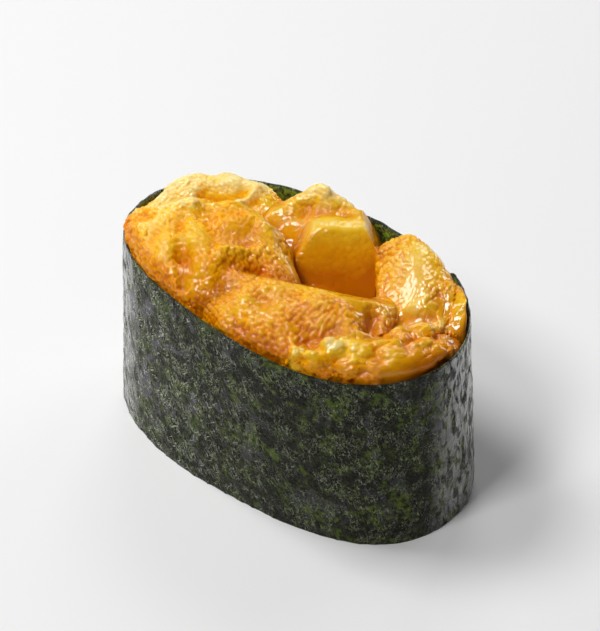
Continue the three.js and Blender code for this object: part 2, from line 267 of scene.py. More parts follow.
def seaweed_material():
    """Near-black fronds, with smoother violet-grey films, olive patches, bright green specks and short
    pale strokes of fibre lying every way. Both ends of the oval have a streaky gloss. The left end is
    lighter with painted light, and the inner face has a painted green glow for light through the sheet."""
    material, tree, shader = new_material("dried_seaweed", {
        "Coat Roughness": 0.22, "Coat IOR": 1.7, "Sheen Weight": 0.06, "Sheen Roughness": 0.4})

    # painted light on the left end, how patchy and busy the sheet is from place to place, and where a film
    # covers it
    x = node(tree, "SeparateXYZ", {0: object_place(tree)}).outputs["X"]
    left_light_ramp = {"Value": x, "From Min": RIGHT_DIM_X * MM, "From Max": LEFT_LIT_X * MM, "To Min": DIMMEST_SHARE}
    painted_left_light = node(tree, "MapRange", left_light_ramp).outputs[0]
    patchy = spread(tree, between(tree, noise(tree, 9, 3, 0.8), 0.42, 0.58), 0.35)
    busy = spread(tree, between(tree, noise(tree, 2.4, 4, 0.5), 0.42, 0.56), 0.15)
    film = product(tree, between(tree, noise(tree, 3.4, 5, 1.2, (1, 1, 0.7)), 0.55, 0.62), painted_left_light)
    bare = combined(tree, "SUBTRACT", 1.0, film)

    # what lies on the fronds, and on the inner face a lighter olive and bright green patches, painted glow
    # for light shining through the sheet
    mottle = product(tree, between(tree, noise(tree, 1.0, 5), 0.38, 0.62), painted_left_light, patchy)
    olive = product(tree, between(tree, noise(tree, 3.6, 5, 0.8), 0.48, 0.62),
                    between(tree, noise(tree, 0.8, 4, 0.6, (1.2, 1.2, 0.7), 35), 0.42, 0.60))
    specks = product(tree, between(tree, noise(tree, 0.6, 3, 0.5), 0.60, 0.66), busy, bare)
    strokes = product(tree, fibres(tree, STROKES), busy, painted_left_light, spread(tree, bare, 0.15))
    threads = product(tree, fibres(tree, THREADS), busy, painted_left_light)
    inside = attribute(tree, "inside")
    glow_patches = product(tree, inside, between(tree, noise(tree, 0.9, 4, 0.8), 0.45, 0.58))
    colour = blend(tree, FROND_BLACK, FROND_GREY, mottle)
    colour = blend(tree, colour, FILM_VIOLET, film)
    colour = blend(tree, colour, PATCH_OLIVE, product(tree, olive, 0.9, bare))
    colour = blend(tree, colour, SPECK_GREEN, product(tree, specks, 0.5))
    colour = blend(tree, colour, STROKE_GREY, product(tree, strokes, 0.8))
    colour = blend(tree, colour, THREAD_WHITE, product(tree, threads, 0.9))
    colour = blend(tree, colour, INSIDE_GLOW_OLIVE, product(tree, inside, 0.8))
    colour = blend(tree, colour, INSIDE_GLOW_GREEN, product(tree, glow_patches, 0.9))
    tree.links.new(colour, shader.inputs["Base Color"])

    # the gloss of both ends, which a film has a little of everywhere
    line = (np.cos(GLOSS_TURN), np.sin(GLOSS_TURN), 0)
    along = node(tree, "VectorMath", {0: object_place(tree), 1: line}, operation="DOT_PRODUCT")
    far = node(tree, "Math", {0: along.outputs["Value"]}, operation="ABSOLUTE").outputs[0]
    streaks = between(tree, noise(tree, 1.7, 5, 1.2, (1.5, 1.5, 0.35), 18), 0.40, 0.58)
    gloss = product(tree, between(tree, far, GLOSS_START * MM, GLOSS_FULL * MM), streaks)
    shine = combined(tree, "MAXIMUM", product(tree, film, 0.4), gloss)
    tree.links.new(spread(tree, shine, DULL_ROUGHNESS, GLOSS_ROUGHNESS), shader.inputs["Roughness"])
    tree.links.new(spread(tree, shine, DULL_SPECULAR, GLOSS_SPECULAR), shader.inputs["Specular IOR Level"])
    tree.links.new(gloss, shader.inputs["Coat Weight"])

    height = combined(tree, "ADD", product(tree, strokes, 0.6), noise(tree, 0.4, 4))
    bump = node(tree, "Bump", {"Height": height, "Strength": 1.0, "Distance": 0.3 * MM})
    tree.links.new(bump.outputs["Normal"], shader.inputs["Normal"])
    return material


grid = strip_points()
index = np.arange(grid.shape[0] * grid.shape[1]).reshape(grid.shape[:2])
beside = np.roll(index, -1, 1)
walls = np.stack([index[:-1], index[1:], beside[1:], beside[:-1]], -1).reshape(-1, 4).tolist()
cut_ends = [index[0].tolist(), index[-1][::-1].tolist()]
strip = add_piece("seaweed_strip_sheet", grid.reshape(-1, 3), walls + cut_ends, seaweed_material(),
                  "seaweed_strip")
store(strip, "inside", np.broadcast_to(np.arange(grid.shape[1]) > OUTER_LEVELS, grid.shape[:2]))


# ---- Rice finger ----
# Cooked short-grain rice pressed by hand into an oval pillar. It stands flat on its base, and its grains
# show underneath, inside the seaweed. They are scattered over a core that is a little smaller.

RICE_TOP = 20.5
CONTACT_GAP = 0.3
BEFORE_LAP = 0.35
# What is heaped above the rim: how far it may rest out on the edge, over which heights, and how fast it
# draws in higher up.
OVERHANG, OVERHANG_START, OVERHANG_FULL = 0.5, 0.25, 1.5
DOME = 0.1
CORE_INSET, CORE_ROUNDING = 1.5, 1.2
CORE_ROWS, CORE_COLUMNS = 16, 72
GRAIN_LENGTH, GRAIN_WIDTH, GRAIN_HEIGHT = 5.4, 2.7, 2.2
GRAIN_FULLNESS, GRAIN_BLUNTNESS = 0.8, 0.12
SMALLEST_GRAIN, LARGEST_GRAIN = 0.85, 1.1
GRAIN_RINGS, GRAIN_COLUMNS = 6, 8
PITCH_X, PITCH_Y, STRAY = 3.1, 2.1, 0.7
OFF_LEVEL = 0.25
# How far grains lean, in radians: little where they stand on the base, more on top.
BASE_LEAN, TOP_LEAN = 0.1, 0.35
# Room that a grain's middle has to have beside the strip, how near the strip a grain lies along it,
# and the share of its random turn that such a grain keeps.
LEAST_ROOM, ALONG_STRIP, STRIP_STRAY = 1.6, 3.6, 0.15
TOP_GRAINS_BELOW = 1.9


def room_radius(angle, z):
    """The free radius inside the strip, less a contact gap. Just above the rim it widens by half a
    millimetre, so that what is heaped there can rest on the edge; higher up it draws in as a dome."""
    along = np.mod(angle - INNER_END + BEFORE_LAP, 2 * np.pi) + INNER_END - BEFORE_LAP
    inside = layer_depth(along) * ramp(along, INNER_END - BEFORE_LAP, INNER_END)
    above = np.maximum(z - rim_height(angle), 0)
    proud = OVERHANG * ramp(above, OVERHANG_START, OVERHANG_FULL) - DOME * above ** 2
    return oval_radius(angle, np.minimum(z, STRIP_HEIGHT)) - SEAWEED_THICKNESS - CONTACT_GAP - inside + proud


def close_rings(rows, columns):
    """Faces of a grid whose rows are closed rings, with a pole before the first row and one after the
    last. The vertices are the rings in order, then the two poles."""
    index = np.arange(rows * columns).reshape(rows, columns)
    beside = np.roll(index, -1, 1)
    quads = np.stack([index[:-1], beside[:-1], beside[1:], index[1:]], -1).reshape(-1, 4)
    first, last = rows * columns, rows * columns + 1
    caps = [np.stack([np.full(columns, first), beside[0], index[0]], -1),
            np.stack([np.full(columns, last), index[-1], beside[-1]], -1)]
    return quads.tolist() + np.concatenate(caps).tolist()


def core_points():
    """Rings inside the strip's room, each the inset smaller, and more so towards the base and the top,
    by the sixth power of how far the ring is from mid height. A pole closes each end."""
    angle = (np.arange(CORE_COLUMNS) * 2 * np.pi / CORE_COLUMNS)[None]
    height = np.linspace(0, 1, CORE_ROWS)[:, None]
    z = CORE_INSET + height * (RICE_TOP - 2 * CORE_INSET) + 0 * angle
    side = room_radius(angle, z) - CORE_INSET - CORE_ROUNDING * (2 * height - 1) ** 6
    rings = np.stack([side * np.cos(angle), side * np.sin(angle), z], -1)
    poles = np.array([[0, 0, CORE_INSET], [0, 0, RICE_TOP - CORE_INSET]])
    return np.concatenate([rings.reshape(-1, 3), poles])


def grain_points():
    """One grain: a ball drawn out along X, a little flatter than wide and blunter at one end."""
    latitude = np.linspace(0, np.pi, GRAIN_RINGS + 2)[1:-1][:, None]
    longitude = (np.arange(GRAIN_COLUMNS) * 2 * np.pi / GRAIN_COLUMNS)[None]
    x = np.cos(latitude) + 0 * longitude
    girth = np.sin(latitude) ** GRAIN_FULLNESS * (1 - GRAIN_BLUNTNESS * np.cos(latitude))
    ball = np.stack([x, girth * np.cos(longitude), girth * np.sin(longitude)], -1).reshape(-1, 3)
    ball = np.concatenate([ball, [[1, 0, 0], [-1, 0, 0]]])
    return ball * [GRAIN_LENGTH / 2, GRAIN_WIDTH / 2, GRAIN_HEIGHT / 2]


def turned(grains, angles, start, end):
    """Each grain turned by its own angle from one axis towards another."""
    cos, sin = np.cos(angles)[:, None], np.sin(angles)[:, None]
    result = grains.copy()
    result[..., start] = grains[..., start] * cos - grains[..., end] * sin
    result[..., end] = grains[..., start] * sin + grains[..., end] * cos
    return result


def scattered_grains(level, lean):
    """Grains at the crossings of a loose staggered grid inside the strip's room, each turned at
    random, leaning by up to lean and a little off the level. The outermost ones lie along the strip
    and are pressed flat against it."""
    row, column = np.mgrid[-8:9, -10:11]
    places = np.stack([(column + 0.5 * (row % 2)) * PITCH_X, row * PITCH_Y], -1).reshape(-1, 2)
    places = places + random.uniform(-STRAY, STRAY, places.shape)
    reach = np.hypot(places[:, 0], places[:, 1])
    spare = room_radius(np.arctan2(places[:, 1], places[:, 0]), level + 0 * reach) - reach
    places, spare = places[spare > LEAST_ROOM], spare[spare > LEAST_ROOM]
    count = len(places)
    turn = random.uniform(0, np.pi, count)
    tip = random.uniform(-lean, lean, count)
    size = random.uniform(SMALLEST_GRAIN, LARGEST_GRAIN, count)
    along_strip = np.arctan2(places[:, 0] / BASE_LENGTH ** 2, -places[:, 1] / BASE_WIDTH ** 2)
    turn = np.where(spare < ALONG_STRIP, along_strip + STRIP_STRAY * (turn - np.pi / 2), turn)
    grains = grain_points()[None] * size[:, None, None]
    grains = turned(turned(grains, tip, 0, 2), turn, 0, 1)
    grains[..., :2] += places[:, None]
    reach = np.hypot(grains[..., 0], grains[..., 1])
    room = room_radius(np.arctan2(grains[..., 1], grains[..., 0]), level + 0 * reach)
    grains[..., :2] *= np.minimum(1, room / reach)[..., None]
    grains[..., 2] += level - grains[..., 2].min(1)[:, None] + random.uniform(0, OFF_LEVEL, count)[:, None]
    return grains


cooked_rice = new_material("cooked_rice", {
    "Base Color": (0.85, 0.82, 0.72, 1), "Roughness": 0.35, "Subsurface Weight": 0.5,
    "Subsurface Radius": (1, 0.8, 0.55), "Subsurface Scale": 1.2 * MM})[0]
add_piece("rice_core", core_points(), close_rings(CORE_ROWS, CORE_COLUMNS), cooked_rice,
          "rice_finger")

random = np.random.default_rng(7)
underneath = scattered_grains(0.0, BASE_LEAN)
on_top = scattered_grains(RICE_TOP - TOP_GRAINS_BELOW, TOP_LEAN)
grains = np.concatenate([underneath, on_top])
grain_faces = close_rings(GRAIN_RINGS, GRAIN_COLUMNS)
all_faces = [[corner + number * grains.shape[1] for corner in face]
             for number in range(len(grains)) for face in grain_faces]
add_piece("rice_grains", grains.reshape(-1, 3), all_faces, cooked_rice, "rice_finger")


# ---- Roe ----
# The roe of sea urchins comes in soft granular tongues, laid side by side and over one another on the
# rice and pressed against the seaweed. They are raw and wet, and light goes a few millimetres into them.

BED_GAP = 0.95
LUMP_HEIGHT = 0.45
PRESSED_SHARE, PRESS_SOFTNESS = 0.95, 0.05
SPINE_STEPS, STEPS_A_MM, ROUND_STEPS = 110, 5.5, 290
UPPER_CROWDING = 0.6
# The height maps' squares, how far they reach each way in X and Y, and over how many squares each way
# the heap's top is evened out to tell what stands out of it.
PLAN_CELL = 0.25
PLAN_REACH = np.array([31.0, 19.0])
BULGE_REACH = 7
# How far down from its highest points a tongue's top goes, and how deep it dives under a neighbour once
# that covers it from the first to the second depth.
TOP_DEPTH = 0.6
DIVE, DIVE_START, DIVE_FULL = 0.7, 0.1, 0.8

# A tongue's stations along its spine: x, y and z, half width, height above and depth below, and how
# far its top leans left. Its faces are flat cuts: x, y and z of a place on it, the way it faces in
# degrees from X, how far it tips up, and its softness. The rest of its form is in lumps, squareness
# and ends, and its skin in melt (into its neighbours), clump, grain, relief, pale and wet.
TONGUES = {
    "roe_back_left": {
        "stations": [[-25.6, -4.0, 28.0, 2.6, 3.0, 6, 0], [-23.4, 0.6, 29.0, 4.2, 4.0, 7, 0],
                     [-19.4, 4.6, 29.2, 5.0, 4.6, 8, 0], [-14.4, 7.8, 28.8, 4.6, 4.4, 8, 0],
                     [-9.6, 9.8, 28.4, 3.4, 3.4, 7, 0]],
        "faces": [[-21.0, 5.0, 33.2, -60, 62, 0.8]],
        "lumps": 1, "squareness": 2.5, "ends": 2.6, "melt": 0.3, "clump": 0.10, "grain": 0.5,
        "relief": 0.26, "pale": 0.66, "wet": 0.35},
    "roe_front_left": {
        "stations": [[-26.6, -6.0, 28.6, 4.0, 4.0, 7, 0.4], [-20.0, -8.0, 29.6, 6.8, 5.6, 8, 1.6],
                     [-12.0, -6.2, 30.0, 10.0, 5.8, 9, 2.6], [-4.6, -5.0, 29.8, 8.6, 5.0, 9, 1.8],
                     [3.4, -3.6, 28.4, 4.8, 4.0, 7, 0]],
        "faces": [],
        "lumps": 1, "squareness": 2.5, "ends": 3.4, "melt": 0.3, "clump": 0.14, "grain": 0.5,
        "relief": 0.36, "pale": 0.31, "wet": 0.4},
    "roe_back_middle": {
        "stations": [[-13.0, 7.2, 28.4, 4.2, 3.2, 7, 0], [-9.4, 7.6, 29.6, 6.4, 3.6, 8, 0],
                     [-5.4, 9.0, 30.2, 6.4, 4.4, 9, 1.6], [-1.4, 12.0, 30.0, 4.2, 4.2, 9, 0.6],
                     [2.4, 12.6, 28.8, 3.2, 3.4, 8, 0]],
        "faces": [[-8.5, 9.5, 33.8, -80, 55, 0.8]],
        "lumps": 1, "squareness": 2.4, "ends": 2.6, "melt": 2.0, "clump": 0.22, "grain": 0.6,
        "relief": 0.14, "pale": 0.46, "wet": 0.6},
    "roe_middle": {
        "stations": [[-4.8, 3.2, 29.8, 5.2, 4.2, 8, 0], [-0.4, 6.4, 30.4, 5.8, 3.8, 9, 0],
                     [3.6, 9.4, 30.6, 6.0, 3.6, 9, 0], [7.4, 12.0, 30.2, 5.8, 3.8, 8, 0]],
        "faces": [[0.0, 7.7, 34.5, -50.5, 35, 0.9], [3.5, 11.0, 34.5, 46.5, 26, 0.8],
                  [-3.7, 6.2, 32.0, 215, 34, 1.2]],
        "lumps": 0.3, "squareness": 3.0, "ends": 5, "melt": 0.4, "clump": 0.05, "grain": 0.7,
        "relief": 0.06, "pale": 0.36, "wet": 0.7},
    "roe_front": {
        "stations": [[-6.2, -12.6, 28.4, 4.2, 4.2, 7, 0.4], [0.6, -9.2, 29.6, 8.4, 4.4, 8, 0.8],
                     [7.4, -5.4, 29.8, 10.6, 4.4, 9, 1.0], [13.4, -3.4, 29.8, 8.6, 4.4, 9, 1.0],
                     [18.8, -2.0, 29.0, 5.6, 3.6, 8, 0.4]],
        "faces": [[5.8, -3.0, 32.8, 112, 50, 0.9]],
        "lumps": 0.8, "squareness": 2.4, "ends": 4.4, "melt": 1.4, "clump": 0.06, "grain": 0.70,
        "relief": 0.40, "pale": 0.42, "wet": 0.4},
    "roe_back_right": {
        "stations": [[5.8, 13.2, 29.8, 4.2, 3.9, 7, 0], [10.8, 11.8, 30.6, 5.2, 3.9, 8, 0],
                     [15.2, 8.2, 30.4, 5.6, 3.7, 9, 0], [18.2, 3.2, 29.6, 6.2, 3.4, 8, 0],
                     [20.2, -3.0, 29.0, 5.4, 3.2, 7, 0]],
        "faces": [[11.1, 10.2, 32.9, 233, 54, 1.0]],
        "lumps": 0.4, "squareness": 2.3, "ends": 2.8, "melt": 3.6, "clump": 0.05, "grain": 0.8,
        "relief": 0.4, "pale": 0.6, "wet": 0.8},
    "roe_front_right": {
        "stations": [[10.4, -15.2, 28.8, 2.6, 2.6, 6, 0], [15.6, -12.8, 29.4, 4.6, 3.2, 7, 0],
                     [21.0, -8.4, 29.6, 6.0, 3.4, 8, 0], [24.8, -2.6, 29.4, 6.0, 3.4, 8, 0],
                     [26.0, 4.6, 28.8, 5.4, 3.0, 7, 0]],
        "faces": [],
        "lumps": 1, "squareness": 2.3, "ends": 2.6, "melt": 2.6, "clump": 0.36, "grain": 0.7,
        "relief": 0.18, "pale": 0.58, "wet": 0.7},
    "roe_right_tip": {
        "stations": [[17.4, 11.4, 28.0, 3.4, 2.6, 6, 0], [22.2, 9.0, 29.6, 4.6, 3.0, 7, 0],
                     [25.8, 4.0, 29.2, 4.4, 2.6, 6, 0]],
        "faces": [],
        "lumps": 1, "squareness": 2.2, "ends": 2.4, "melt": 3.6, "clump": 0.18, "grain": 0.6,
        "relief": 0.1, "pale": 0.6, "wet": 0.9},
}

# Hollows and ridges of the heap's top: from, to, reach, and how far the surface is moved up.
FOLDS = (
    # the back left tongue's scooped side and the curl beyond it
    ([-20.0, 3.6], [-16.4, 6.6], 1.4, -2.2), ([-15.6, 5.6], [-14.6, 8.4], 0.8, 1.2),
    ([-14.6, 6.0], [-13.6, 7.2], 0.5, -0.8),
    # the front left tongue's back edge, with its knobs and its dent
    ([-24.4, -6.6], [-18.4, -4.4], 1.0, 0.7), ([-12.5, 1.6], [-5.6, 1.0], 1.1, 0.8),
    ([-16.8, -2.8], [-16.6, -2.4], 0.8, 0.7), ([-15.2, -0.6], [-15.0, -0.4], 0.7, 0.7),
    ([-13.4, 0.8], [-13.2, 0.9], 0.7, 0.6), ([-22.8, -8.2], [-21.8, -8.6], 0.9, -0.5),
    # its crease down to the rim, and the ledge on its right half
    ([-16.0, -7.0], [-12.0, -11.0], 0.8, -0.8), ([-12.0, -11.0], [-9.0, -14.4], 0.9, -1.0),
    ([-14.4, -8.6], [-10.4, -12.6], 0.6, 0.6),
    ([-7.4, -7.4], [-4.0, -3.0], 0.7, 0.7), ([-5.4, -8.4], [-2.6, -5.4], 1.1, -1.4),
    # the hollow behind the middle tongue's top and the peak beyond it
    ([-6.4, 9.6], [-1.0, 12.0], 1.3, -0.9), ([-7.4, 13.0], [-5.0, 12.8], 1.0, 0.9),
    ([-3.0, 14.0], [0.6, 13.4], 0.9, 0.9),
    # the dips at the front tongue's right end and across the foot of the back right one
    ([12.4, -11.5], [14.5, -8.0], 1.2, -1.0), ([15.8, -1.8], [17.0, -4.6], 1.0, -1.7),
    ([18.6, 1.8], [21.6, 3.8], 1.0, -1.5),
    # the front right tongue's ridge and groove, its knobs and its dent
    ([15.2, -11.2], [22.4, -5.0], 1.0, 0.9), ([17.0, -12.8], [22.8, -8.8], 0.9, -0.9),
    ([12.2, -14.8], [12.6, -14.6], 0.9, 1.0), ([14.6, -14.0], [15.0, -13.8], 0.9, 1.0),
    ([20.2, -1.2], [22.0, -3.0], 0.8, 0.6), ([24.6, -3.4], [26.4, -0.8], 0.9, 0.6),
    ([22.6, -2.0], [24.2, 1.4], 0.9, -0.7),
    # the right tip's knob and the dip before it
    ([23.2, 9.8], [24.6, 8.6], 1.2, 0.9), ([20.6, 7.0], [22.6, 5.6], 1.4, -0.7),
)

# Smooth, wetter places among the granules: from, to and reach.
GLOSSY = (
    # along the back right tongue and where the front one meets it
    ([13.6, 10.6], [17.6, 5.0], 2.6), ([13.0, 5.0], [15.6, 1.6], 2.2), ([10.5, -2.2], [15.5, -2.6], 1.6),
    ([15.3, 6.0], [19.6, 2.4], 2.6),
    # the right end
    ([21.4, 6.9], [26.6, 4.2], 1.4), ([24.5, -8.4], [27.0, -5.0], 1.4),
    # the back middle tongue's slope and the middle one's left shoulder and foot
    ([-11.3, 6.9], [-5.7, 5.2], 2.2), ([-4.6, 6.6], [-3.6, 8.2], 1.4), ([0.8, -1.0], [7.6, 4.3], 2.4),
)

# Painted light and shade on the heap: from, to, reach, and how far the tone is moved, up for painted light
# and down for painted shade.
PAINTED_LIGHT_AND_SHADE = (
    # painted light on the crests of the middle, back middle and back right tongues, and painted shade at the
    # middle one's foot
    ([-2.6, 7.4], [3.6, 11.8], 1.5, 0.3), ([-7.0, 13.0], [-2.0, 14.0], 1.8, 0.12),
    ([13.6, 10.6], [17.6, 5.0], 2.6, 0.06), ([12.5, 4.9], [18.6, 2.2], 2.2, 0.16),
    ([-0.5, 1.4], [5.6, 4.3], 1.6, -0.15),
    # painted light on the front left tongue's crown, and painted shade deepening its right half
    ([-22.0, -4.0], [-12.0, -1.0], 2.6, 0.08), ([-10.0, -3.0], [-3.0, -6.0], 4.0, -0.14),
    ([-10.0, -11.6], [-5.6, -11.0], 2.2, -0.2),
    # painted light on the front tongue's back edge and on the front right one's knobs
    ([-1.0, -6.6], [11.0, -1.6], 1.5, 0.12), ([16.4, -11.2], [19.0, -9.8], 1.6, 0.3),
    ([12.4, -14.6], [14.2, -13.6], 1.2, 0.25),
)

# Broad milky highlights, where the roe's skin is smooth and full of water: from, to and reach.
MILKY = (
    ([13.6, 9.6], [18.4, 5.6], 2.0), ([18.4, 5.6], [19.8, 2.0], 2.0), ([12.2, 1.6], [16.4, -0.4], 1.6),
    ([22.4, 3.4], [25.0, 2.6], 1.2),
)


def through(stations, share):
    """A Catmull-Rom curve through the stations, at shares from 0 to 1 of their count."""
    stops = np.asarray(stations, float)
    stops = np.vstack([2 * stops[0] - stops[1], stops, 2 * stops[-1] - stops[-2]])
    spot = np.clip(share, 0, 1) * (len(stops) - 3)
    first = np.minimum(spot.astype(int), len(stops) - 4)
    t = (spot - first)[:, None]
    a, b, c, d = (stops[first + k] for k in range(4))
    start, end = (c - a) / 2, (d - b) / 2
    return (2 * b - 2 * c + start + end) * t ** 3 + (3 * c - 3 * b - 2 * start - end) * t ** 2 + start * t + b


def lumps(points):
    """Broad unevenness from crossed waves along and across the heap and through its height."""
    x, y, z = points[..., 0], points[..., 1], points[..., 2]
    straight = np.sin(0.62 * x + 0.8 * z) * np.cos(0.55 * y - 0.3 * x)
    askew = np.sin(0.95 * y + 0.4 * x + 1.3) * np.cos(0.7 * z + 0.5 * x)
    return LUMP_HEIGHT * (straight + 0.7 * askew)


def press_in(points):
    """Flattens points softly against the strip's inner face and the rice: past 95% of the room's
    radius, and in the last millimetre above the rice, the rest is squeezed."""
    angle = np.arctan2(points[..., 1], points[..., 0])
    room = room_radius(angle, points[..., 2])
    share = np.maximum(np.hypot(points[..., 0], points[..., 1]) / room, 1e-6)
    squeezed = PRESSED_SHARE + PRESS_SOFTNESS * np.tanh((share - PRESSED_SHARE) / PRESS_SOFTNESS)
    held = np.where(share > PRESSED_SHARE, squeezed, share)
    above = points[..., 2] - RICE_TOP - BED_GAP
    z = RICE_TOP + BED_GAP + np.where(above > 1, above, np.exp(np.clip(above, -6, 1) - 1))
    return np.concatenate([points[..., :2] * (held / share)[..., None], z[..., None]], -1)


def near_line(points, start, end, reach):
    """1 on a straight line in plan, and falling off beside it as a bell curve of its distance."""
    places = points[..., :2]
    start, run = np.array(start), np.subtract(end, start)
    t = np.clip(((places - start) * run).sum(-1) / max((run * run).sum(), 1e-9), 0, 1)
    distance = np.linalg.norm(places - start - t[..., None] * run, axis=-1)
    return np.exp(-(distance / reach) ** 2)


def near_any(points, lines):
    """The highest that near_line gives for any of the lines."""
    return np.max([near_line(points, start, end, reach) for start, end, reach in lines], axis=0)


def even_turns(squareness):
    """Turns round a superellipse that space its points evenly, and closer on its upper side: the
    arctangent of the evenly spaced turn's sine and cosine, each to the power of squareness / 2."""
    u = np.arange(ROUND_STEPS) / ROUND_STEPS
    even = (2 * np.pi * u + UPPER_CROWDING * np.cos(2 * np.pi * u))[None]
    power = 2 / squareness
    return np.arctan2(np.sign(np.sin(even)) * np.abs(np.sin(even)) ** (1 / power),
                      np.sign(np.cos(even)) * np.abs(np.cos(even)) ** (1 / power))


def tongue_points(spec, along):
    """A tongue on a grid of (share along its spine, turn round it): a superellipse of the stations'
    half width, height above and depth below, leaning sideways and drawn in at both ends, then swollen
    by the lumps, flattened on its faces, and pressed into the strip."""
    stations = np.asarray(spec["stations"], float)
    share = 0.5 - 0.5 * np.cos(np.pi * np.linspace(0, 1, along))
    taper = np.maximum(0, 1 - np.abs(2 * share - 1) ** spec["ends"]) ** (1 / spec["ends"])
    spine, size = through(stations[:, :3], share), through(stations[:, 3:7], share)
    tangent = np.gradient(spine, axis=0)
    side = np.stack([-tangent[:, 1], tangent[:, 0], 0 * share], 1)
    side /= np.linalg.norm(side, axis=1)[:, None]
    turn, power = even_turns(spec["squareness"]), 2 / spec["squareness"]
    cos, sin = np.cos(turn), np.sin(turn)
    out = np.sign(cos) * np.abs(cos) ** power * size[:, :1] + size[:, 3:4] * np.maximum(sin, 0) ** 1.5
    rise = np.sign(sin) * np.abs(sin) ** power * np.where(sin > 0, size[:, 1:2], size[:, 2:3])
    points = spine[:, None] + side[:, None] * (out * taper[:, None])[..., None]
    points[..., 2] += rise * taper[:, None]
    outward = side[:, None] * cos[..., None] + np.array([0, 0, 1]) * sin[..., None]
    points = points + outward * (spec["lumps"] * lumps(points) * taper[:, None])[..., None]
    for x, y, z, facing, tip, softness in spec["faces"]:
        facing, tip = np.radians(facing), np.radians(tip)
        normal = np.array([np.cos(facing) * np.cos(tip), np.sin(facing) * np.cos(tip), np.sin(tip)])
        beyond = (points - [x, y, z]) @ normal + softness
        cut = np.where(beyond > 0, beyond - softness * np.tanh(beyond / softness), 0)
        points = points - normal * cut[..., None]
    return press_in(points)


def evened(high, reach):
    """The height map averaged over a square of reach cells each way, empty cells left out."""
    total, count = np.zeros_like(high), np.zeros_like(high)
    for step in np.ndindex(2 * reach + 1, 2 * reach + 1):
        moved = np.roll(high, (step[0] - reach, step[1] - reach), (0, 1))
        total += moved
        count += moved > 0
    return total / np.maximum(count, 1)


def height_map(points):
    """The highest point over each square of a plan grid, evened out over three squares each way."""
    columns, rows = (2 * PLAN_REACH / PLAN_CELL).astype(int)
    spot = ((points[..., :2] + PLAN_REACH) / PLAN_CELL).astype(int).reshape(-1, 2)
    high = np.zeros((columns, rows))
    np.maximum.at(high, (spot[:, 0], spot[:, 1]), points[..., 2].ravel())
    return np.where(high > 0, evened(high, 1), 0)


def height_at(high, points):
    """The height map between its squares' centres, from the four around each point."""
    spot = (points[..., :2] + PLAN_REACH) / PLAN_CELL - 0.5
    first = np.floor(spot).astype(int)
    t = spot - first
    x, y = first[..., 0], first[..., 1]
    return ((high[x, y] * (1 - t[..., 0]) + high[x + 1, y] * t[..., 0]) * (1 - t[..., 1])
            + (high[x, y + 1] * (1 - t[..., 0]) + high[x + 1, y + 1] * t[..., 0]) * t[..., 1])


shapes, maps = {}, {}
for name, spec in TONGUES.items():
    length = np.linalg.norm(np.diff(np.asarray(spec["stations"])[:, :3], axis=0), axis=1).sum()
    shapes[name] = tongue_points(spec, int(SPINE_STEPS + STEPS_A_MM * length))
    maps[name] = height_map(shapes[name])


def settled(name):
    """Where two tongues' tops lie within their melt of one another in height, both rise by
    melt / 4 x (1 - difference / melt)^2, which rounds the joint off as a fillet. The covered one
    dives away below the other, so that the two don't run along together."""
    points = shapes[name].copy()
    own_top = points[..., 2] > height_at(maps[name], points) - TOP_DEPTH
    for other, high in maps.items():
        if other == name:
            continue
        melt = (TONGUES[name]["melt"] + TONGUES[other]["melt"]) / 2
        covered = height_at(high, points) - points[..., 2]
        close = np.maximum(0, 1 - np.abs(covered) / melt)
        dive = DIVE * ramp(covered, DIVE_START, DIVE_FULL)
        points[..., 2] += np.where(own_top, melt / 4 * close ** 2 - dive, 0)
    for start, end, reach, push in FOLDS:
        points[..., 2] += np.where(own_top, push * near_line(points, start, end, reach), 0)
    return points


heap = {name: settled(name) for name in TONGUES}
heap_top = np.max([height_map(points) for points in heap.values()], axis=0)
bulge = evened(heap_top, 1) - evened(heap_top, BULGE_REACH)


def grid_normals(points):
    """Unit normals of a grid of closed rings, from the cross product of its two directions."""
    normal = np.cross(np.roll(points, -1, 1) - np.roll(points, 1, 1), np.gradient(points, axis=0))
    return normal / (np.linalg.norm(normal, axis=-1)[..., None] + 1e-12)


GRANULE_STRAY, GRANULE_REACH = 0.8, 0.68


def granules(points, size, seed):
    """Domes packed like fish eggs: one centre jittered in each cell of a lattice, and a round cap
    about the nearest one. Returns the caps' height from 0 to 1 and a random tone for each."""
    scaled = points / size
    cell = np.floor(scaled)
    nearest, tone = np.full(points.shape[:-1], 9.0), np.zeros(points.shape[:-1])
    for step in np.ndindex(3, 3, 3):
        other = cell + step - 1
        jitter = np.stack([lattice(other, seed + k) for k in range(3)], -1) - 0.5
        centre = other + 0.5 + GRANULE_STRAY * jitter
        gap = np.linalg.norm(scaled - centre, axis=-1)
        closer = gap < nearest
        nearest = np.where(closer, gap, nearest)
        tone = np.where(closer, lattice(other, seed + 5), tone)
    return np.sqrt(np.maximum(0, 1 - (nearest / GRANULE_REACH) ** 2)), tone


DEEP_ORANGE, ORANGE = (0.52, 0.135, 0.0003, 1), (0.76, 0.315, 0.001, 1)
YELLOW, CREAM = (0.87, 0.52, 0.018, 1), (0.93, 0.74, 0.28, 1)


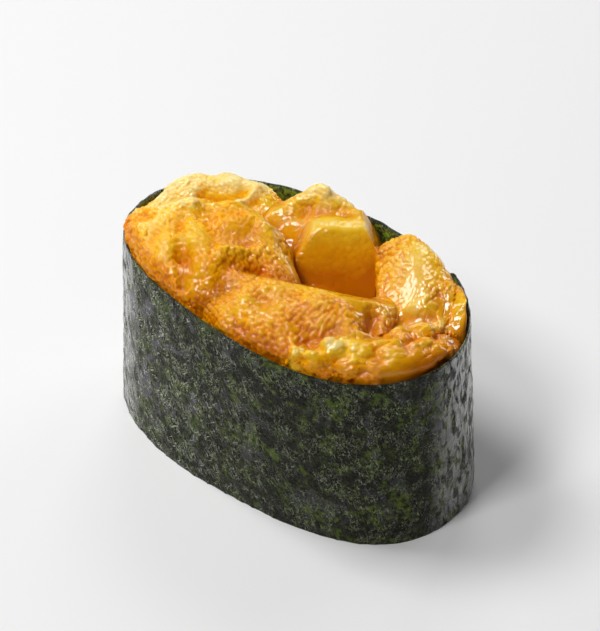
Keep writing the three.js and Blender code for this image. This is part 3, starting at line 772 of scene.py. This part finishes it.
def roe_material():
    """Light scatters under a wet clear coat. The tone runs from deep orange through yellow to cream, and
    holds painted light and shade besides the roe's own colour; wet is the coat's weight, and milk the
    strength of the duller reflection under it."""
    material, tree, shader = new_material("wet_roe", {
        "Roughness": 0.35, "Subsurface Weight": 0.9, "Subsurface Radius": (1.0, 0.42, 0.10),
        "Subsurface Scale": 0.6 * MM, "Coat Roughness": 0.02, "Coat IOR": 1.6})
    shader.subsurface_method = "BURLEY"
    tint = node(tree, "ValToRGB", {"Fac": attribute(tree, "tone")})
    stops = tint.color_ramp.elements
    stops[0].color = DEEP_ORANGE
    stops[1].color = CREAM
    stops.new(0.4).color = ORANGE
    stops.new(0.75).color = YELLOW
    tree.links.new(tint.outputs["Color"], shader.inputs["Base Color"])
    tree.links.new(attribute(tree, "wet"), shader.inputs["Coat Weight"])
    tree.links.new(attribute(tree, "milk"), shader.inputs["Specular IOR Level"])
    return material


# Roughness of the skin: height, size and seed. It is this strong on a dry tongue and this much less on
# a wet one, and a glossy place loses a share of it.
SKIN_WAVES = ((0.35, 2.6, 11), (0.06, 1.2, 12))
DRY_ROUGHNESS, WET_SMOOTHS, GLOSS_SMOOTHS = 1.2, 0.6, 0.85
CLUMP_SIZE, CLUMP_WANDER, CLUMP_SCALE, CLUMP_LEVEL = 1.9, 0.5, 1.6, 0.6
# What moves the tone: broad patches; the granules' relief, as painted shade in their gaps and painted
# light on their tops; each granule; how far a place stands out of the heap, as painted light on crests
# and painted shade in hollows; and each millimetre up, as painted light, and to the right, as painted shade.
TONE_PATCHES, GRANULE_PAINTED_SHADE, TONE_GRANULES = 0.14, 1.1, 0.08
BULGE_PAINTED_LIGHT_AND_SHADE, LEAST_BULGE, MOST_BULGE = 0.45, -0.35, 0.3
HEIGHT_PAINTED_LIGHT, TONE_LEVEL, RIGHTWARD_PAINTED_SHADE = 0.055, 32, -0.009
# What makes the coat: its least, the tongue's own wetness, patches and glossy places. Only what faces
# up has it all.
WET_LEAST, WET_OWN, WET_PATCHES, WET_GLOSS = 0.5, 0.45, 0.25, 0.5
WET_BELOW = 0.15

wet_roe = roe_material()
for number, (name, spec) in enumerate(TONGUES.items()):
    points = heap[name]
    along, around = points.shape[:2]
    proud = np.clip(height_at(bulge, points), LEAST_BULGE, MOST_BULGE)
    gloss = near_any(points, GLOSSY)
    dull = 1 - GLOSS_SMOOTHS * gloss

    # roughness and clumps first, then the granules on them, all pushed out along the normals
    broad = sum(height * cloud(points, size, seed) for height, size, seed in SKIN_WAVES)
    rough = broad * (DRY_ROUGHNESS - WET_SMOOTHS * spec["wet"]) * spec["lumps"] ** 2 * dull
    bobble = granules(points + CLUMP_WANDER * cloud(points, 2.0, 13)[..., None], CLUMP_SIZE, 14)[0]
    clump = spec["clump"] * CLUMP_SCALE * (bobble - CLUMP_LEVEL) * dull
    points = points + grid_normals(points) * (rough + clump)[..., None]
    facing_up = grid_normals(points)[..., 2]
    cap, granule_tone = granules(points, spec["grain"], 40 + number)
    grainy = (0.5 + 0.5 * ramp(cloud(points, 4.0, 60), -0.6, 0.3)) * dull
    points = points + grid_normals(points) * (spec["relief"] * (cap - 0.5) * grainy)[..., None]

    closed = np.concatenate([points[1:-1].reshape(-1, 3), points[[0, -1], 0]])
    piece = add_piece(name + "_tongue", closed, close_rings(along - 2, around), wet_roe, name)

    # the tone gets painted light on granule tops, crests, higher places and the left, and painted shade in
    # granule gaps, hollows, lower places and the right
    tone = spec["pale"] + TONE_PATCHES * cloud(points, 4.0, 70)
    tone = tone + GRANULE_PAINTED_SHADE * spec["relief"] * grainy * (cap - 0.65) + TONE_GRANULES * (granule_tone - 0.5)
    tone = tone + BULGE_PAINTED_LIGHT_AND_SHADE * proud + HEIGHT_PAINTED_LIGHT * (points[..., 2] - TONE_LEVEL) + RIGHTWARD_PAINTED_SHADE * points[..., 0]
    tone = tone + sum(shift * near_line(points, start, end, reach) for start, end, reach, shift in PAINTED_LIGHT_AND_SHADE)
    wet = WET_LEAST + WET_OWN * spec["wet"] + WET_PATCHES * cloud(points, 3.0, 71) + WET_GLOSS * gloss
    wet = wet * (WET_BELOW + (1 - WET_BELOW) * ramp(facing_up, -0.1, 0.5))
    for label, values in (("tone", tone), ("wet", wet), ("milk", near_any(points, MILKY))):
        store(piece, label, np.concatenate([np.clip(values[1:-1], 0, 1).ravel(), [0.5, 0.5]]))


# ---- Table, light and camera ----
# A pale table top in a faintly lit white room. Three soft lights stand high over the left end, the front
# and the back, and two low ones, off the left end and behind, give the seaweed's ends their sheen.

# Each light's azimuth and elevation in degrees, its distance, width and height in metres, and its watts.
# Azimuth 0 is -Y and 90 is +X.
LIGHTS = {
    "high_left_light": (285, 62, 0.6, 0.20, 0.20, 1.8),
    "high_front_light": (355, 56, 0.6, 0.16, 0.16, 1.5),
    "high_back_light": (215, 45, 0.7, 0.26, 0.26, 0.8),
    "low_left_light": (270, 24, 0.6, 0.14, 0.14, 0.35),
    "low_back_light": (175, 14, 0.6, 0.3, 0.14, 0.8),
}
LIGHTS_AIM = Vector((0, 0, 0.02))
ROOM_STRENGTH = 0.04
CAMERA_AZIMUTH, CAMERA_ELEVATION, CAMERA_DISTANCE = np.radians(40.5), np.radians(41.0), 0.634
CAMERA_AIM = Vector((0, 0, 0.015))
FOCAL_LENGTH, SENSOR_WIDTH = 249.0, 36.0
# The picture's longer side, and how far the view is moved in it, in pixels.
PICTURE_PIXELS, MOVED_RIGHT_PIXELS, MOVED_UP_PIXELS = 631, 3.8, 39.8

bpy.ops.mesh.primitive_plane_add(size=6)
table = bpy.context.object
table.name = "table"
pale_table = new_material("pale_table", {"Base Color": (0.9, 0.9, 0.9, 1), "Roughness": 0.9})[0]
table.data.materials.append(pale_table)


def towards(azimuth, elevation):
    """The unit direction at an azimuth from -Y towards +X, and an elevation, in radians."""
    level = np.cos(elevation)
    return Vector((np.sin(azimuth) * level, -np.cos(azimuth) * level, np.sin(elevation)))


for name, (azimuth, elevation, distance, width, height, power) in LIGHTS.items():
    away = towards(np.radians(azimuth), np.radians(elevation))
    lamp = bpy.data.lights.new(name, "AREA")
    lamp.shape, lamp.size, lamp.size_y, lamp.energy = "RECTANGLE", width, height, power
    light = bpy.data.objects.new(name, lamp)
    light.location = away * distance + LIGHTS_AIM
    light.rotation_euler = away.to_track_quat("Z", "Y").to_euler()
    bpy.context.collection.objects.link(light)

world = bpy.data.worlds.new("white_room")
world.use_nodes = True
world.node_tree.nodes["Background"].inputs["Color"].default_value = (1, 1, 1, 1)
world.node_tree.nodes["Background"].inputs["Strength"].default_value = ROOM_STRENGTH
bpy.context.scene.world = world
bpy.context.scene.view_settings.view_transform = "Standard"

lens = bpy.data.cameras.new("lens")
lens.lens, lens.sensor_width = FOCAL_LENGTH, SENSOR_WIDTH
lens.shift_x, lens.shift_y = MOVED_RIGHT_PIXELS / PICTURE_PIXELS, MOVED_UP_PIXELS / PICTURE_PIXELS
camera = bpy.data.objects.new("camera", lens)
camera.location = towards(CAMERA_AZIMUTH, CAMERA_ELEVATION) * CAMERA_DISTANCE + CAMERA_AIM
camera.rotation_euler = (np.pi / 2 - CAMERA_ELEVATION, 0, CAMERA_AZIMUTH)
bpy.context.collection.objects.link(camera)
bpy.context.scene.camera = camera
